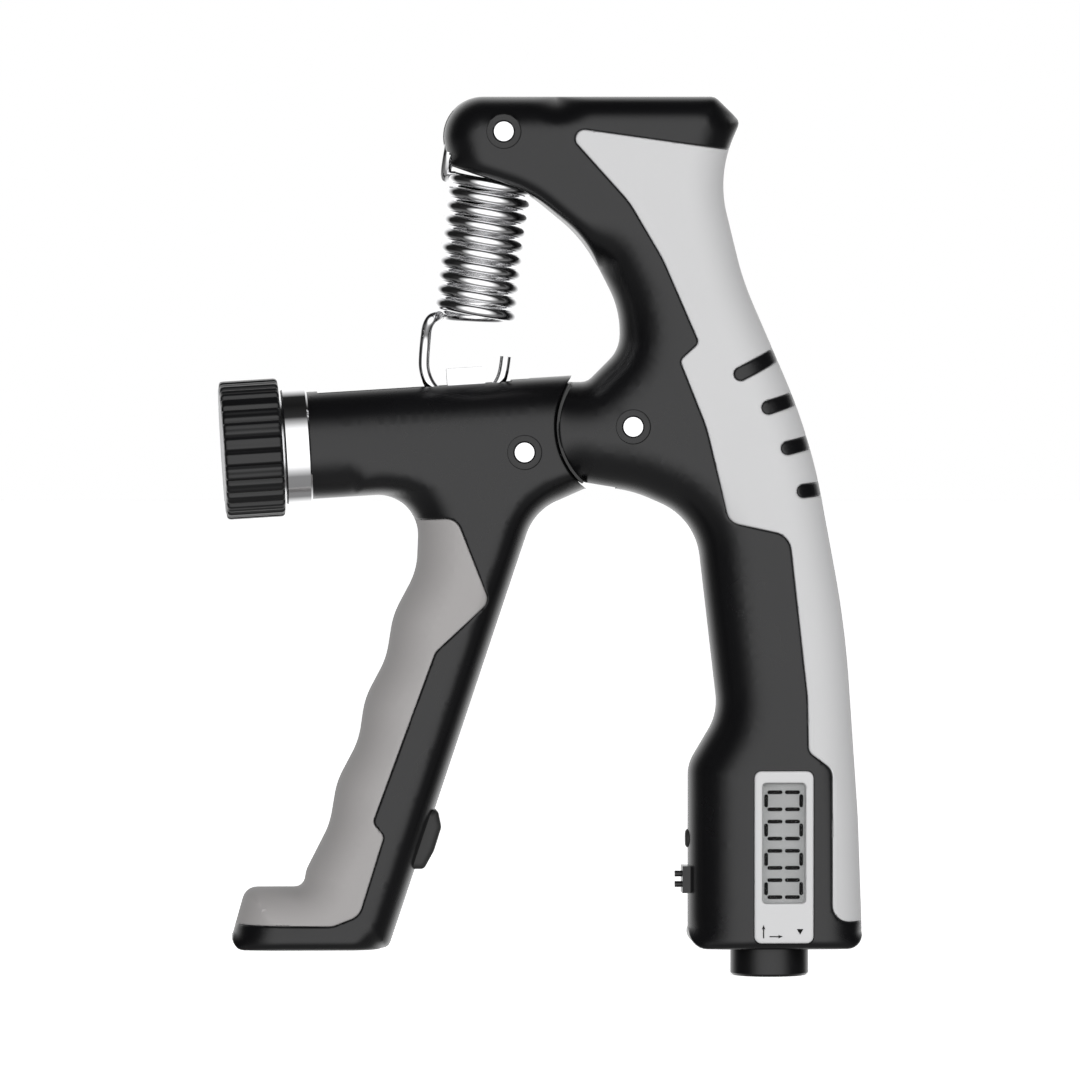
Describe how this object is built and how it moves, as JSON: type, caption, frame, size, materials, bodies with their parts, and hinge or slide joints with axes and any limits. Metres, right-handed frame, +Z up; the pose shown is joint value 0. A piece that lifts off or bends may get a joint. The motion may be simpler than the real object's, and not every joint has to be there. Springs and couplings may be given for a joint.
{
  "type": "hand dynamometer",
  "caption": "Spring hand grip with a fixed palm frame, a pivoted finger lever, a screw-adjusted tension spring and a repetition counter with a reset knob.",
  "frame": {"origin": "middle of the bounding box in X and Y, level with the underside of the reset knob", "axes": "+Z up the handles towards the spring's anchor pin, +X towards the palm side, -Y the display face, X from the adjusting knob to the palm grip"},
  "size_m": [0.1286, 0.0276, 0.1758],
  "materials": {
    "casing_plastic": "satin moulded, fine spark-eroded grain",
    "palm_rubber": "soft-touch overmould, smooth matt",
    "finger_rubber": "soft-touch overmould, smooth matt",
    "knob_plastic": "moulded, lightly satin",
    "disc_plastic": "satin moulded",
    "black_rubber": "matt",
    "chrome_plate": "bright plated",
    "spring_wire": "bright plated wire",
    "steel": "turned, bright",
    "slider_metal": "machined",
    "brass": "turned",
    "face_plate": "smooth, light grey",
    "clear_window": "clear moulded",
    "lcd_glass": "smooth grey, reflective",
    "lcd_ink": "dark liquid-crystal segments",
    "circuit_board": "solder-masked",
    "switch_plastic": "moulded"
  },
  "bodies": {
    "frame": {"frame_front_shell": "casing_plastic", "frame_rear_shell": "casing_plastic", "palm_grip": "palm_rubber", "spring_anchor_pin": "steel", "main_pivot_pin": "steel", "pivot_washers": "steel", "frame_screws": "steel", "lever_bump_stop": "black_rubber", "counter_face_plate": "face_plate", "display_window": "clear_window", "lcd_panel": "lcd_glass", "lcd_digits": "lcd_ink", "lcd_contact_strips": "black_rubber", "counter_board": "circuit_board", "count_switch": "switch_plastic", "reset_switch": "switch_plastic", "button_cell": "steel", "cell_contacts": "steel", "battery_door": "casing_plastic", "battery_door_screw": "steel", "plunger_guide": "switch_plastic", "plunger_spring": "spring_wire", "reset_spring": "spring_wire"},
    "lever": {"lever_front_shell": "casing_plastic", "lever_rear_shell": "casing_plastic", "finger_grip": "finger_rubber", "hinge_plate": "steel", "pivot_bush": "brass", "lever_pin": "steel", "striker_pad": "black_rubber", "lever_screws": "steel", "barrel_collar": "chrome_plate", "screw_bush": "brass", "thrust_washer": "steel"},
    "knob": {"adjusting_knob": "knob_plastic", "knob_end_disc": "disc_plastic", "lead_screw": "steel"},
    "slider": {"slider_nut": "slider_metal", "hook_pin": "steel"},
    "spring": {"tension_spring": "spring_wire"},
    "spring_end": {"spring_end_turn": "spring_wire"},
    "spring_hook": {"spring_lower_hook": "spring_wire"},
    "plunger": {"count_plunger": "switch_plastic"},
    "reset_stem": {"reset_shaft": "switch_plastic", "reset_clip": "steel"},
    "reset_button": {"reset_knob": "knob_plastic"}
  },
  "joints": [
    {"name": "squeeze", "type": "hinge", "parent": "frame", "child": "lever", "pos_m": [0.018, 0, 0.1101], "axis": [0, -1, 0], "range_deg": [0, 30], "stiffness_Nm_per_rad": 4, "springref_deg": -2.86},
    {"name": "knob_turn", "type": "hinge", "parent": "lever", "child": "knob", "pos_m": [-0.05686, 0, 0.10552], "axis": [0.9981, 0, 0.061], "range_deg": [0, 1440]},
    {"name": "slider_travel", "type": "slide", "parent": "lever", "child": "slider", "axis": [-0.9981, 0, -0.061], "range_m": [0, 0.01805]},
    {"name": "spring_swing", "type": "hinge", "parent": "frame", "child": "spring", "pos_m": [-0.0078, 0, 0.1689], "axis": [0, 1, 0], "range_deg": [0, 17.72]},
    {"name": "spring_stretch", "type": "slide", "parent": "spring", "child": "spring_end", "axis": [0.048, 0, -0.9988], "range_m": [0, 0.01737], "deforming": ["tension_spring", "spring_end_turn"]},
    {"name": "spring_take_up", "type": "slide", "parent": "spring_end", "child": "spring_hook", "axis": [-0.1323, 0, -0.9912], "range_m": [0, 0.00625], "deforming": ["spring_lower_hook"]},
    {"name": "count_press", "type": "slide", "parent": "frame", "child": "plunger", "axis": [1, 0, 0], "range_m": [0, 0.0012], "stiffness_N_per_m": 100, "springref_m": -0.0005, "deforming": ["plunger_spring"]},
    {"name": "reset_press", "type": "slide", "parent": "frame", "child": "reset_stem", "axis": [0, 0, 1], "range_m": [0, 0.001], "stiffness_N_per_m": 300, "springref_m": -0.001, "deforming": ["reset_spring"]},
    {"name": "reset_turn", "type": "hinge", "parent": "reset_stem", "child": "reset_button", "pos_m": [0.046, 0, 0.0046], "axis": [0, 0, 1], "range_deg": [0, 45]}
  ],
  "couplings": [
    {"joint": "slider_travel", "follows": "knob_turn", "m_per_rad": 0.0007162},
    {"joint": "spring_swing", "follows": "knob_turn", "ratio": 0.012234},
    {"joint": "spring_take_up", "follows": "knob_turn", "m_per_rad": 0.00024681},
    {"joint": "spring_stretch", "follows": "squeeze", "m_per_rad": 0.033081}
  ]
}
